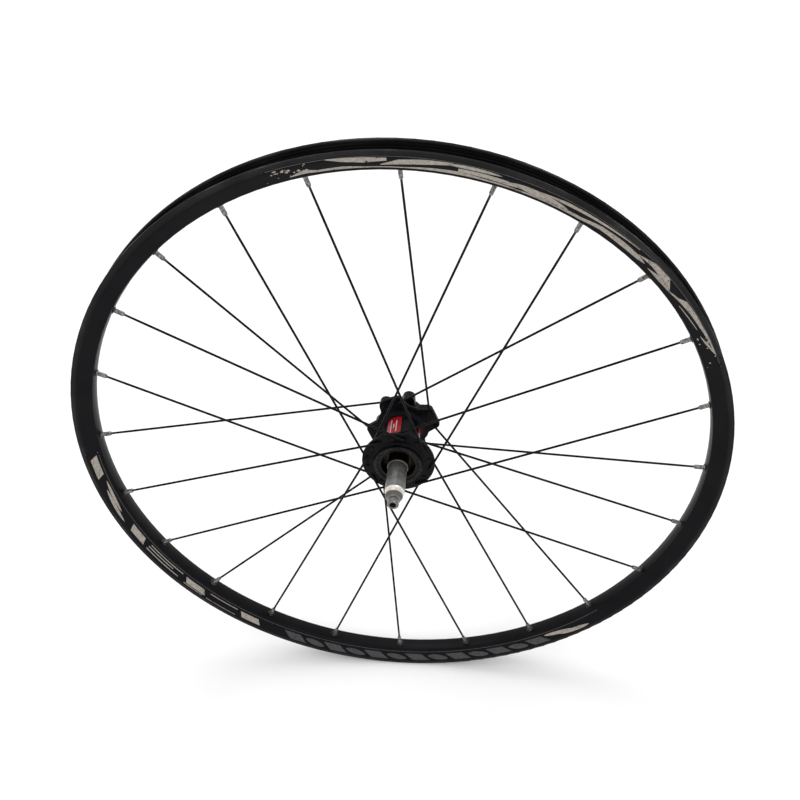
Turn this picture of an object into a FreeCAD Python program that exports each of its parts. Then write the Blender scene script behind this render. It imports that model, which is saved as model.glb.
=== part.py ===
import FreeCAD, Part
import math
import os

import Sketcher
from FreeCAD import Placement, Rotation, Vector

# A bicycle's rear wheel with no tyre on it: a 26-inch rim, 24 bent spokes and a hub for a
# six-bolt disc, with its quick-release axle. The freewheel body is off, so the axle is bare
# on the chain side.
#
# The origin is the wheel's centre: the axle's axis meets the rim's middle plane there.
# +Y runs along the axle to the disc side, -Y to the chain side, and +Z is up.
# An angle is counted about the axle from +X towards +Z, in degrees.

DRIVING = {
    # rim
    "rim_radius": 286.0,
    "rim_half_width": 11.85,
    "spoke_face_radius": 268.1,
    "spoke_face_half_width": 5.8,
    "bead_seat_radius": 279.5,
    "channel_half_width": 9.9,
    "rim_wall": 1.4,
    "valve_hole_radius": 3.3,
    "sleeve_angle": 9.0,
    "film_thick": 0.1,
    # spokes, nipples and eyelets
    "first_nipple_angle": 103.78,
    "spoke_radius": 1.0,
    "elbow_radius": 2.6,
    "drive_standoff": 1.95,
    "disc_standoff": 2.15,
    "head_radius": 1.85,
    "head_thick": 1.1,
    "seat_radius": 269.3,
    "nipple_radius": 1.95,
    "nipple_square": 3.3,
    "nipple_out": 10.4,
    "eyelet_hole_radius": 2.65,
    # hub shell
    "drive_flange_y": -14.2,
    "drive_flange_radius": 32.0,
    "drive_hole_circle": 27.5,
    "drive_lead": 71.25,
    "disc_flange_y": 35.7,
    "disc_core_radius": 24.2,
    "ear_reach": 33.0,
    "ear_half_width": 11.2,
    "ear_corner": 5.0,
    "disc_hole_circle": 29.0,
    "disc_lead": 52.5,
    "flange_thick": 3.2,
    "spoke_hole_radius": 1.3,
    "barrel_radius": 16.0,
    "mouth_y": -20.5,
    "mouth_radius": 20.7,
    "rotor_face_y": 52.2,
    "rotor_bolt_circle": 22.0,
    "rotor_bolt_radius": 2.5,
    "rotor_bolt_depth": 9.0,
    "rotor_first_angle": 18.0,
    "rotor_spigot_radius": 17.5,
    "lobe_radius": 5.8,
    "lobe_depth": 9.2,
    # ratchet ring
    "ratchet_radius": 17.2,
    "ratchet_tip_radius": 14.8,
    "ratchet_root_radius": 15.9,
    # bearings
    "bearing_bore": 8.5,
    "bearing_radius": 15.0,
    "bearing_width": 7.0,
    "drive_bearing_y": -6.9,
    "disc_bearing_y": 50.4,
    "ball_radius": 1.85,
    "groove_radius": 2.05,
    # axle
    "axle_radius": 8.5,
    "relief_depth": 0.5,
    "relief_width": 1.2,
    "axle_end_radius": 5.0,
    "disc_tip_radius": 4.8,
    "axle_bore_radius": 2.9,
    "axle_drive_end": -69.0,
    "axle_disc_end": 72.5,
    "sleeve_end_y": -23.0,
    "spacer_end_y": 60.0,
    "washer_thick": 1.0,
    "locknut_face_y": 67.5,
    "locknut_across_flats": 17.0,
    # fits
    "fit_gap": 0.02,
}

SPOKE_COUNT = 24
NIPPLE_PITCH = 360.0 / SPOKE_COUNT
VALVE_ANGLE = DRIVING["first_nipple_angle"] + 2.5 * NIPPLE_PITCH
DRIVE_HOLE_COUNT = 16
EAR_COUNT = 4
EAR_HOLE_TURN = 15.0
LOBE_COUNT = 6
BALL_COUNT = 11
TOOTH_COUNT = 30
LABEL_ANGLES = (115.0, -5.0)
LABEL_SPAN = 50.0
FILM_ARCS = ((23.0, 109.5), (181.5, 316.0))

doc = FreeCAD.newDocument("rear_wheel")
sheet = doc.addObject("Spreadsheet::Sheet", "Sizes")
for row, (alias, number) in enumerate(DRIVING.items(), start=1):
    sheet.set(f"A{row}", alias)
    sheet.set(f"B{row}", str(number))
    sheet.setAlias(f"B{row}", alias)
doc.recompute()

node_objects = []


class Size:
    """A size that keeps its number together with the sheet formula that gives it."""

    def __init__(self, value, formula):
        self.value = value
        self.formula = formula

    def __add__(self, other):
        other = size(other)
        return Size(self.value + other.value, f"({self.formula} + {other.formula})")

    def __sub__(self, other):
        other = size(other)
        return Size(self.value - other.value, f"({self.formula} - {other.formula})")

    def __mul__(self, factor):
        return Size(self.value * factor, f"({self.formula} * {factor})")

    def __neg__(self):
        return self * -1


def size(number):
    """A plain number as a Size."""
    if isinstance(number, Size):
        return number
    return Size(float(number), f"({float(number)})")


def cell(alias):
    """The sheet's cell with this alias as a Size."""
    return Size(DRIVING[alias], f"Sizes.{alias}")


def bind(thing, **sizes):
    """Bind properties of a document object to the sheet."""
    for name, given in sizes.items():
        thing.setExpression(name, size(given).formula)


def keep(thing, name):
    """Name an object as one of the wheel's nodes."""
    thing.Label = name
    node_objects.append(thing)
    return thing


def turned(angle):
    """A placement turned about the axle, +X towards +Z, by an angle in degrees."""
    return Placement(Vector(0, 0, 0), Rotation(Vector(0, 1, 0), -angle))


def on_circle(radius, angle, y=0.0):
    """The point at a radius and angle about the axle."""
    a = math.radians(angle)
    return Vector(radius * math.cos(a), y, radius * math.sin(a))


# ---------------------------------------------------------------- sketches and features

def new_body(name):
    return doc.addObject("PartDesign::Body", f"{name}_body")


def new_sketch(body, role, name, offset=None):
    """A sketch on one of the body's own origin planes."""
    sketch = body.newObject("Sketcher::SketchObject", name)
    plane = next(f for f in body.Origin.OriginFeatures if f.Role == role)
    sketch.AttachmentSupport = [(plane, "")]
    sketch.MapMode = "FlatFace"
    if offset is not None:
        sketch.AttachmentOffset = offset
    return sketch


def fix_point(sketch, item, end, across, along):
    """Hold one end of a sketched edge at bound distances from the sketch's origin."""
    for kind, axis, given in (("DistanceX", -2, across), ("DistanceY", -1, along)):
        if given.value == 0:
            sketch.addConstraint(Sketcher.Constraint("PointOnObject", item, end, axis))
            continue
        rule = Sketcher.Constraint(kind, -1, 1, item, end, given.value)
        index = sketch.addConstraint(rule)
        sketch.setExpression(f"Constraints[{index}]", given.formula)


def arc_between(start, end, radius):
    """The short arc between two points. A positive radius bulges to the right of the way there."""
    chord = end - start
    side = Vector(chord.y, -chord.x, 0).normalize() * math.copysign(1, radius)
    rise = math.sqrt(max(radius ** 2 - (chord.Length / 2) ** 2, 0.0))
    top = (start + end) * 0.5 + side * (abs(radius) - rise)
    return Part.Arc(start, top, end)


def outline(sketch, corners):
    """Draw a closed outline. A corner with a third value is reached by an arc of that radius."""
    points = [Vector(size(c[0]).value, size(c[1]).value, 0) for c in corners]
    first = sketch.GeometryCount
    ends = []
    for index, start in enumerate(points):
        follower = (index + 1) % len(points)
        end = points[follower]
        if len(corners[follower]) == 3:
            radius = size(corners[follower][2])
            item = sketch.addGeometry(arc_between(start, end, radius.value), False)
            rule = Sketcher.Constraint("Radius", item, abs(radius.value))
            held = sketch.addConstraint(rule)
            formula = radius.formula if radius.value > 0 else (-radius).formula
            sketch.setExpression(f"Constraints[{held}]", formula)
            ends.append((1, 2) if radius.value > 0 else (2, 1))
        else:
            sketch.addGeometry(Part.LineSegment(start, end), False)
            ends.append((1, 2))
    count = len(points)
    for index in range(count):
        here = first + index
        after = first + (index + 1) % count
        joint = (here, ends[index][1], after, ends[(index + 1) % count][0])
        sketch.addConstraint(Sketcher.Constraint("Coincident", *joint))
        across, along = size(corners[index][0]), size(corners[index][1])
        fix_point(sketch, here, ends[index][0], across, along)


def circle(sketch, across, along, radius):
    """Draw a circle with a bound centre and radius."""
    across, along, radius = size(across), size(along), size(radius)
    centre = Vector(across.value, along.value, 0)
    item = sketch.addGeometry(Part.Circle(centre, Vector(0, 0, 1), radius.value), False)
    index = sketch.addConstraint(Sketcher.Constraint("Radius", item, radius.value))
    sketch.setExpression(f"Constraints[{index}]", radius.formula)
    fix_point(sketch, item, 3, across, along)


def revolve(body, name, outlines, angle=360.0, about="V_Axis"):
    """Turn closed outlines, given as (radius, y) corners, about the axle."""
    sketch = new_sketch(body, "XY_Plane", f"{name}_section")
    for corners in outlines:
        outline(sketch, corners)
    turn = body.newObject("PartDesign::Revolution", f"{name}_turned")
    turn.Profile = sketch
    turn.ReferenceAxis = (sketch, [about])
    turn.Angle = angle
    turn.Midplane = angle < 360
    doc.recompute()
    return turn


def pattern(body, feature, axis, count):
    """Repeat a feature evenly about an axis of its own sketch."""
    repeat = body.newObject("PartDesign::PolarPattern", f"{feature.Name}_ring")
    repeat.Originals = [feature]
    repeat.Axis = (feature.Profile[0], [axis])
    repeat.Angle = 360.0
    repeat.Occurrences = count
    body.Tip = repeat
    doc.recompute()
    return repeat


def pocket(body, sketch, name, length, backwards=False):
    """Cut a sketch's outlines into the body, and make sure that material came away."""
    before = body.Shape.Volume
    cut = body.newObject("PartDesign::Pocket", name)
    cut.Profile = sketch
    bind(cut, Length=length)
    cut.Reversed = backwards
    body.Tip = cut
    doc.recompute()
    if body.Shape.Volume > before - 1e-3:
        raise RuntimeError(f"{name} cuts nothing")
    return cut


def ring(name, inner, outer, low, high):
    """A plain turned ring between two radii and two places along the axle."""
    body = new_body(name)
    revolve(body, name, [[(inner, low), (outer, low), (outer, high), (inner, high)]])
    return keep(body, name)


def at_y(y, spin=0.0):
    """A sketch offset from the XZ plane, whose normal is -Y, turned by an angle."""
    return Placement(Vector(0, 0, -y), Rotation(Vector(0, 0, 1), spin))


def mirrored(half):
    """An outline's corners on +Y followed by the same corners on -Y, back to the start."""
    other = []
    for index in range(len(half) - 1, -1, -1):
        corner = [half[index][0], -size(half[index][1])]
        if index + 1 < len(half) and len(half[index + 1]) == 3:
            corner.append(half[index + 1][2])
        other.append(tuple(corner))
    return half + other


# ---------------------------------------------------------------- rim

def rim_section():
    """The rim's outer outline: spoke face, sloped walls, hooked lips, bead seats and well."""
    top = cell("rim_radius")
    wide = cell("rim_half_width")
    face = cell("spoke_face_radius")
    face_half = cell("spoke_face_half_width")
    seat = cell("bead_seat_radius")
    channel = cell("channel_half_width")
    half = [
        (face + 0.8, face_half, -21.4),
        (face + 2.8, face_half + 1.7, -2.6),
        (top - 6.8, wide - 0.85),
        (top - 3.6, wide),
        (top - 1.1, wide),
        (top, wide - 1.1, -1.1),
        (top - 0.35, channel - 0.3, -2.2),
        (top - 1.4, channel - 0.9, -0.9),
        (top - 2.2, channel - 0.7, -0.8),
        (top - 3.2, channel),
        (seat + 0.8, channel),
        (seat, channel - 0.8, 0.8),
        (seat - 0.2, 5.9),
        (seat + 0.2, 5.3),
        (seat - 0.2, 4.7),
        (seat - 2.5, 3.9),
        (seat - 2.9, 3.3),
    ]
    return mirrored(half)


def rim_chamber(inset=0.0):
    """The hollow between the spoke face and the tyre bed, or a smaller outline inside it."""
    face = cell("spoke_face_radius") + 2.4 + inset
    bed = cell("bead_seat_radius") - cell("rim_wall") - 0.1 - inset
    half = [
        (face, size(4.7 - inset)),
        (face + 0.8, size(6.1 - inset)),
        (bed - 0.4, size(8.7 - 1.3 * inset)),
        (bed, size(8.4 - 1.3 * inset)),
        (bed, size(5.9 + 0.4 * inset)),
        (bed - 2.6, size(4.7)),
        (bed - 2.8, size(4.1)),
    ]
    return mirrored(half)


def make_rim():
    body = new_body("rim")
    revolve(body, "rim", [rim_section(), rim_chamber()])
    eyelets = new_sketch(body, "YZ_Plane", "eyelet_hole")
    circle(eyelets, 0, 0, cell("eyelet_hole_radius"))
    reach = cell("spoke_face_radius") + 5
    pattern(body, pocket(body, eyelets, "eyelet_cut", reach, True), "H_Axis", SPOKE_COUNT)
    spin = cell("first_nipple_angle").value - 90
    turn = Placement(Vector(0, 0, 0), Rotation(Vector(1, 0, 0), spin - VALVE_ANGLE))
    valve = new_sketch(body, "YZ_Plane", "valve_hole", turn)
    circle(valve, 0, 0, cell("valve_hole_radius"))
    pocket(body, valve, "valve_cut", cell("rim_radius"), True)
    body.Placement = turned(spin)
    return keep(body, "rim")


def make_rim_joint_sleeve():
    """The block inside the rim that joins its two ends, opposite the valve hole."""
    body = new_body("rim_joint_sleeve")
    revolve(body, "sleeve", [rim_chamber(0.25)], cell("sleeve_angle").value)
    body.Placement = turned(VALVE_ANGLE + 180)
    return keep(body, "rim_joint_sleeve")


def make_rim_films():
    """Four thin bands of printed film on the rim's walls, two on each side."""
    top = cell("rim_radius")
    wide = cell("rim_half_width")
    wall = [
        (cell("spoke_face_radius") + 3.3, cell("spoke_face_half_width") + 1.91),
        (top - 6.8, wide - 0.85),
        (top - 4.0, wide - 0.11),
    ]
    under = [(radius, y + 0.04) for radius, y in wall]
    over = [(radius, y + 0.04 + cell("film_thick")) for radius, y in reversed(wall)]
    films = []
    for side in (1, -1):
        for index, (first, last) in enumerate(FILM_ARCS):
            name = f"film_{'disc' if side > 0 else 'drive'}_{index}"
            body = new_body(name)
            section = [(radius, y * side) for radius, y in under + over]
            revolve(body, name, [section], last - first)
            body.Placement = turned((first + last) / 2)
            films.append(body)
    every = doc.addObject("Part::Compound", "rim_films")
    every.Links = films
    return keep(every, "rim_films")


# ---------------------------------------------------------------- spokes and nipples

def spoke_plan(number):
    """Where a spoke goes: its nipple's angle, its hole, the side it leaves on and its standoff.

    Every third spoke goes to the disc flange, and the chain side has twice as many.
    The side is -1 where the spoke lies on the -Y face of its flange, and +1 on the +Y face.
    The standoff is from that face to the middle of the spoke at its elbow.
    """
    angle = cell("first_nipple_angle").value - (number - 1) * NIPPLE_PITCH
    place = number % 3
    if place == 2:
        trails = number % 6 == 2
        lead = cell("disc_lead").value * (-1 if trails else 1)
        circle_radius = cell("disc_hole_circle").value
        flange = cell("disc_flange_y").value
        standoff = cell("disc_standoff")
        side = 1 if trails else -1
    else:
        lead = cell("drive_lead").value * (-1 if place == 1 else 1)
        circle_radius = cell("drive_hole_circle").value
        flange = cell("drive_flange_y").value
        standoff = cell("drive_standoff")
        side = -1 if place == 1 else 1
    hole = on_circle(circle_radius, angle + lead, flange)
    return angle, hole, side, standoff


def spoke_line(number):
    """The spoke's corner at the flange, the nipple's seat and the straight run's direction."""
    angle, hole, side, standoff = spoke_plan(number)
    rise = cell("flange_thick").value / 2 + standoff.value
    corner = hole + Vector(0, side * rise, 0)
    seat = on_circle(cell("seat_radius").value, angle)
    return corner, seat, (seat - corner).normalize()


def make_spoke(number):
    """A bent spoke: head, shank through the flange, elbow and straight run into its nipple."""
    name = f"spoke_{number:02d}"
    _, _, side, standoff = spoke_plan(number)
    corner, seat, ahead = spoke_line(number)
    shank = Vector(0, side, 0)
    bend = math.acos(shank.dot(ahead))
    sideways = (ahead * shank.dot(ahead) - shank).normalize()
    normal = ahead.cross(sideways)
    tangent = cell("elbow_radius").value * math.tan(bend / 2)
    rise = cell("flange_thick").value + standoff.value + 0.05
    backward = Vector(-math.cos(bend), math.sin(bend), 0)
    along_shank = Rotation(Vector(0, 0, 1), -backward)
    along_head = Rotation(Vector(0, 0, 1), backward)

    run = doc.addObject("Part::Cylinder", f"{name}_run")
    bind(run, Radius=cell("spoke_radius"))
    run.Height = (seat - corner).Length - tangent + 4.0
    run.Placement = Placement(Vector(tangent, 0, 0), Rotation(Vector(0, 0, 1), Vector(1, 0, 0)))

    elbow = doc.addObject("Part::Torus", f"{name}_elbow")
    bind(elbow, Radius1=cell("elbow_radius"), Radius2=cell("spoke_radius"))
    elbow.Angle3 = math.degrees(bend)
    start = -90 - math.degrees(bend)
    middle = Vector(tangent, cell("elbow_radius").value, 0)
    elbow.Placement = Placement(middle, Rotation(Vector(0, 0, 1), start))

    neck = doc.addObject("Part::Cylinder", f"{name}_neck")
    bind(neck, Radius=cell("spoke_radius"))
    neck.Height = rise - tangent + 0.2
    neck.Placement = Placement(backward * (rise + 0.2), along_shank)

    head = doc.addObject("Part::Cone", f"{name}_head")
    bind(head, Radius1=cell("head_radius"), Radius2=cell("head_radius") - 0.5)
    bind(head, Height=cell("head_thick"))
    head.Placement = Placement(backward * rise, along_head)

    whole = doc.addObject("Part::MultiFuse", name)
    whole.Shapes = [run, elbow, neck, head]
    whole.Refine = True
    frame = FreeCAD.Matrix(
        ahead.x, sideways.x, normal.x, corner.x,
        ahead.y, sideways.y, normal.y, corner.y,
        ahead.z, sideways.z, normal.z, corner.z,
        0, 0, 0, 1,
    )
    whole.Placement = Placement(frame)
    return keep(whole, name)


def nipple_pattern():
    """One nipple along +X with its seat at the origin: square tip, round shank, head."""
    body = new_body("nipple")
    shank = cell("nipple_radius")
    out = -cell("nipple_out")
    bore = cell("spoke_radius") + 0.05
    section = [
        (out, bore),
        (out, shank - 0.55),
        (out + 0.9, shank),
        (size(2.2), shank),
        (size(3.0), size(2.8)),
        (size(4.6), size(2.8)),
        (size(5.0), size(2.3)),
        (size(5.0), bore),
    ]
    revolve(body, "nipple", [section], about="H_Axis")
    square = new_sketch(body, "YZ_Plane", "nipple_square")
    flat = cell("nipple_square") * 0.5
    outer = 4.0
    outline(square, [(-outer, flat), (outer, flat), (outer, outer), (-outer, outer)])
    square.AttachmentOffset = Placement(Vector(0, 0, -1.9), Rotation())
    flats = pocket(body, square, "nipple_flat", cell("nipple_out") - 3.4)
    pattern(body, flats, "N_Axis", 4)
    return body


def eyelet_pattern():
    """One eyelet along +X with the spoke face's middle at the seat radius: a flanged tube."""
    body = new_body("eyelet")
    inner = cell("nipple_radius") + 0.35
    tube = cell("eyelet_hole_radius") - 0.05
    under = cell("spoke_face_radius")
    inside = under + 2.4
    section = [
        (under - 0.6, inner + 0.1),
        (under - 0.45, tube + 0.35),
        (under - 0.03, tube + 0.35),
        (under - 0.03, tube),
        (inside + 0.03, tube),
        (inside + 0.03, tube + 0.45),
        (inside + 0.5, tube + 0.35),
        (inside + 0.5, inner),
        (under - 0.4, inner),
    ]
    revolve(body, "eyelet", [section], about="H_Axis")
    return body


def copies(name, pattern_body, placements):
    """One node that holds a copy of a piece at each placement, as separate solids."""
    group = doc.addObject("Part::Feature", name)
    placed = []
    for placement in placements:
        one = pattern_body.Shape.copy()
        one.Placement = placement
        placed.append(one)
    group.Shape = Part.makeCompound(placed)
    return keep(group, name)


def make_spokes_and_nipples():
    nipple_places = []
    eyelet_places = []
    for number in range(1, SPOKE_COUNT + 1):
        make_spoke(number)
        _, seat, ahead = spoke_line(number)
        nipple_places.append(Placement(seat, Rotation(Vector(1, 0, 0), ahead)))
        eyelet_places.append(turned(spoke_plan(number)[0]))
    copies("nipples", nipple_pattern(), nipple_places)
    copies("rim_eyelets", eyelet_pattern(), eyelet_places)


# ---------------------------------------------------------------- hub

def hub_section():
    """The hub shell's turned section, from the chain-side mouth to the disc-side spigot."""
    mouth = cell("mouth_y")
    rim = cell("mouth_radius")
    drive = cell("drive_flange_y")
    disc = cell("disc_flange_y")
    half = cell("flange_thick") * 0.5
    barrel = cell("barrel_radius")
    core = cell("disc_core_radius")
    face = cell("rotor_face_y")
    spigot = cell("rotor_spigot_radius")
    race = cell("bearing_radius") + cell("fit_gap")
    seat = cell("ratchet_radius") + cell("fit_gap")
    drive_out = cell("drive_bearing_y") - cell("bearing_width") * 0.5
    drive_in = cell("drive_bearing_y") + cell("bearing_width") * 0.5 + cell("fit_gap")
    disc_in = cell("disc_bearing_y") - cell("bearing_width") * 0.5 - cell("fit_gap")
    return [
        (seat + 1.3, mouth),
        (rim, mouth),
        (rim + 0.4, mouth + 0.4),
        (rim + 0.4, drive - half - 2.0),
        (rim + 2.4, drive - half, -2.0),
        (cell("drive_flange_radius") - 0.7, drive - half),
        (cell("drive_flange_radius"), drive - half + 0.7, 0.7),
        (cell("drive_flange_radius"), drive + half - 0.7),
        (cell("drive_flange_radius") - 0.7, drive + half, 0.7),
        (size(24.0), drive + half),
        (size(20.0), drive + half + 4.0, -4.0),
        (size(18.6), drive_in + 1.6),
        (barrel, drive_in + 5.0, -8.0),
        (barrel, disc - half - 5.0),
        (barrel + 5.0, disc - half, -5.0),
        (core - 0.7, disc - half),
        (core, disc - half + 0.7, 0.7),
        (core, disc + half - 0.7),
        (core - 0.7, disc + half, 0.7),
        (size(22.0), disc + half),
        (size(18.9), disc + half + 3.1, -3.1),
        (size(18.9), face),
        (spigot, face),
        (spigot, face + 2.4),
        (spigot - 0.4, face + 2.8),
        (race + 0.4, face + 2.8),
        (race, face + 2.4),
        (race, disc_in),
        (size(13.2), disc_in),
        (size(12.0), disc_in - 1.2),
        (size(12.0), drive_in + 1.2),
        (size(13.2), drive_in),
        (race, drive_in),
        (race, drive_out - 0.05),
        (race + 0.9, drive_out - 0.05),
        (race + 0.9, drive_out - 1.25),
        (race, drive_out - 1.25),
        (race, drive_out - 1.6),
        (seat, drive_out - 1.6),
        (seat, mouth + 1.3),
    ]


def make_hub_shell():
    body = new_body("hub_shell")
    revolve(body, "hub", [hub_section()])

    face = cell("rotor_face_y").value
    first_lobe = cell("rotor_first_angle").value
    lobe = new_sketch(body, "XZ_Plane", "lobe", at_y(face, first_lobe))
    lobe.setExpression("AttachmentOffset.Base.z", "-Sizes.rotor_face_y")
    middle = cell("rotor_bolt_circle")
    wide = cell("lobe_radius")
    tip = (middle + wide, 0, wide)
    outline(lobe, [(16.6, -7.6), (middle, -wide), tip, (middle, wide, wide), (16.6, 7.6)])
    pad = body.newObject("PartDesign::Pad", "lobe_pad")
    pad.Profile = lobe
    bind(pad, Length=cell("lobe_depth"))
    body.Tip = pad
    doc.recompute()
    pattern(body, pad, "N_Axis", LOBE_COUNT)

    bolt = new_sketch(body, "XZ_Plane", "bolt", at_y(face, first_lobe))
    bolt.setExpression("AttachmentOffset.Base.z", "-Sizes.rotor_face_y")
    circle(bolt, middle, 0, cell("rotor_bolt_radius"))
    cut = pocket(body, bolt, "bolt_cut", cell("rotor_bolt_depth"), True)
    pattern(body, cut, "N_Axis", LOBE_COUNT)

    first = cell("first_nipple_angle").value
    ear_angle = first - NIPPLE_PITCH - DRIVING["disc_lead"] - EAR_HOLE_TURN
    outer_face = DRIVING["disc_flange_y"] + DRIVING["flange_thick"] / 2
    ear = new_sketch(body, "XZ_Plane", "ear", at_y(outer_face, ear_angle))
    reach = cell("ear_reach")
    wide = cell("ear_half_width")
    corner = cell("ear_corner")
    outline(ear, [
        (19.5, -13.6),
        (reach - corner, -wide),
        (reach, corner - wide, corner),
        (reach, wide - corner),
        (reach - corner, wide, corner),
        (19.5, 13.6),
    ])
    pad = body.newObject("PartDesign::Pad", "ear_pad")
    pad.Profile = ear
    bind(pad, Length=cell("flange_thick"))
    body.Tip = pad
    doc.recompute()
    pattern(body, pad, "N_Axis", EAR_COUNT)

    flanges = (
        ("drive", DRIVE_HOLE_COUNT, first - DRIVING["drive_lead"], (0.0,)),
        ("disc", EAR_COUNT, ear_angle, (EAR_HOLE_TURN, -EAR_HOLE_TURN)),
    )
    for flange, count, angle, turns in flanges:
        chain_face = cell(f"{flange}_flange_y").value - DRIVING["flange_thick"] / 2
        hole = new_sketch(body, "XZ_Plane", f"{flange}_hole", at_y(chain_face - 0.2, angle))
        ring_radius = cell(f"{flange}_hole_circle")
        for turn in turns:
            across = ring_radius * math.cos(math.radians(turn))
            along = ring_radius * math.sin(math.radians(turn))
            circle(hole, across, along, cell("spoke_hole_radius"))
        cut = pocket(body, hole, f"{flange}_cut", cell("flange_thick") + 0.4)
        pattern(body, cut, "N_Axis", count)
    return keep(body, "hub_shell")


def make_hub_labels():
    """Two thin label patches on the barrel."""
    low = cell("barrel_radius") + 0.03
    patches = []
    for index, angle in enumerate(LABEL_ANGLES):
        body = new_body(f"label_{index}")
        section = [(low, 4.6), (low + 0.3, 4.6), (low + 0.3, 28.5), (low, 28.5)]
        revolve(body, f"label_{index}", [section], LABEL_SPAN)
        body.Placement = turned(angle)
        patches.append(body)
    both = doc.addObject("Part::Compound", "hub_labels")
    both.Links = patches
    return keep(both, "hub_labels")


def make_ratchet_ring():
    """The toothed ring in the hub's mouth that the freewheel's pawls catch."""
    body = new_body("ratchet_ring")
    outer = cell("ratchet_radius")
    tip = cell("ratchet_tip_radius")
    inner_y = cell("drive_bearing_y") - 5.2
    outer_y = cell("mouth_y") + 1.5
    section = [(tip, outer_y), (outer, outer_y), (outer, inner_y), (tip, inner_y)]
    revolve(body, "ratchet", [section])
    tooth = new_sketch(body, "XZ_Plane", "tooth", at_y(-21.0))
    root = cell("ratchet_root_radius")
    outline(tooth, [(tip - 0.4, 0), (root, 0), (tip - 0.27, 2.82)])
    cut = pocket(body, tooth, "tooth_cut", 12.0)
    pattern(body, cut, "N_Axis", TOOTH_COUNT)
    return keep(body, "ratchet_ring")


def make_retaining_ring():
    """The spring ring that holds the chain-side bearing in the shell."""
    race = cell("bearing_radius")
    side = cell("drive_bearing_y") - cell("bearing_width") * 0.5
    body = new_body("bearing_retaining_ring")
    section = [
        (race - 1.6, side - 1.2),
        (race + 0.8, side - 1.2),
        (race + 0.8, side - 0.1),
        (race - 1.6, side - 0.1),
    ]
    revolve(body, "retaining", [section], 330.0)
    body.Placement = turned(200.0)
    return keep(body, "bearing_retaining_ring")


# ---------------------------------------------------------------- bearings

def make_bearing(side):
    """A sealed ball bearing: two races, balls, their cage and a seal on each face."""
    y = cell(f"{side}_bearing_y")
    half = cell("bearing_width") * 0.5
    bore = cell("bearing_bore") + cell("fit_gap")
    outer = cell("bearing_radius")
    pitch_value = (DRIVING["bearing_bore"] + DRIVING["bearing_radius"]) / 2
    pitch = (cell("bearing_bore") + cell("bearing_radius")) * 0.5
    land = 1.45
    groove = cell("groove_radius")
    cut = math.sqrt(groove.value ** 2 - land ** 2)

    name = f"{side}_bearing_outer_race"
    body = new_body(name)
    inside = pitch + land
    revolve(body, name, [[
        (inside, y - half), (outer, y - half), (outer, y + half), (inside, y + half),
        (inside, y + cut), (inside, y - cut, -groove),
    ]])
    keep(body, name)

    name = f"{side}_bearing_inner_race"
    body = new_body(name)
    outside = pitch - land
    revolve(body, name, [[
        (bore, y - half), (outside, y - half), (outside, y - cut), (outside, y + cut, -groove),
        (outside, y + half), (bore, y + half),
    ]])
    keep(body, name)

    balls = []
    places = [360.0 / BALL_COUNT * index for index in range(BALL_COUNT)]
    for index, angle in enumerate(places):
        ball = doc.addObject("Part::Sphere", f"{side}_ball_{index}")
        bind(ball, Radius=cell("ball_radius"))
        ball.Placement = Placement(on_circle(pitch_value, angle, y.value), Rotation())
        balls.append(ball)
    group = doc.addObject("Part::Compound", f"{side}_bearing_balls")
    group.Links = balls
    keep(group, f"{side}_bearing_balls")

    name = f"{side}_bearing_cage"
    body = new_body(name)
    revolve(body, name, [[
        (pitch - 0.55, y - 2.6), (pitch + 0.55, y - 2.6),
        (pitch + 0.55, y + 2.6), (pitch - 0.55, y + 2.6),
    ]])
    hole = new_sketch(body, "YZ_Plane", f"{side}_cage_hole")
    circle(hole, y, 0, cell("ball_radius") + 0.15)
    window = pocket(body, hole, f"{side}_cage_cut", 20.0, True)
    pattern(body, window, "H_Axis", BALL_COUNT)
    keep(body, name)

    seals = []
    for end, (low, high) in (("near", (-3.4, -2.9)), ("far", (2.9, 3.4))):
        body = new_body(f"{side}_{end}_seal")
        revolve(body, f"{side}_{end}_seal", [[
            (pitch - 1.1, y + low), (inside - 0.03, y + low),
            (inside - 0.03, y + high), (pitch - 1.1, y + high),
        ]])
        seals.append(body)
    group = doc.addObject("Part::Compound", f"{side}_bearing_seals")
    group.Links = seals
    keep(group, f"{side}_bearing_seals")


# ---------------------------------------------------------------- axle and its fittings

def make_axle():
    body = new_body("axle")
    main = cell("axle_radius")
    relief = main - cell("relief_depth")
    relief_start = cell("sleeve_end_y") - cell("relief_width") * 0.5
    relief_end = cell("sleeve_end_y") + cell("relief_width") * 0.5
    end = cell("axle_end_radius")
    tip = cell("disc_tip_radius")
    bore = cell("axle_bore_radius")
    left = cell("axle_drive_end")
    right = cell("axle_disc_end")
    half = cell("bearing_width") * 0.5
    drive_in = cell("drive_bearing_y") + half + cell("fit_gap")
    disc_in = cell("disc_bearing_y") - half - cell("fit_gap")
    disc_out = cell("disc_bearing_y") + half
    revolve(body, "axle", [[
        (bore, left),
        (end - 0.6, left),
        (end, left + 0.6),
        (end, left + 4.4),
        (end - 0.4, left + 4.7),
        (end - 0.4, left + 5.4),
        (end + 0.6, left + 5.7),
        (end + 0.6, left + 7.3),
        (main - 1.0, left + 10.3),
        (main - 0.9, left + 10.8),
        (main - 0.9, left + 14.9),
        (main, left + 15.9),
        (main, relief_start),
        (relief, relief_start),
        (relief, relief_end),
        (main, relief_end),
        (main, drive_in),
        (main + 1.0, drive_in),
        (main + 1.0, disc_in),
        (main, disc_in),
        (main, disc_out - 0.5),
        (main - 0.4, disc_out - 0.1),
        (end, disc_out - 0.1),
        (end, cell("locknut_face_y") + 0.1),
        (tip, cell("locknut_face_y") + 0.1),
        (tip, right - 0.6),
        (tip - 0.6, right),
        (bore, right),
    ]])
    return keep(body, "axle")


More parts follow.
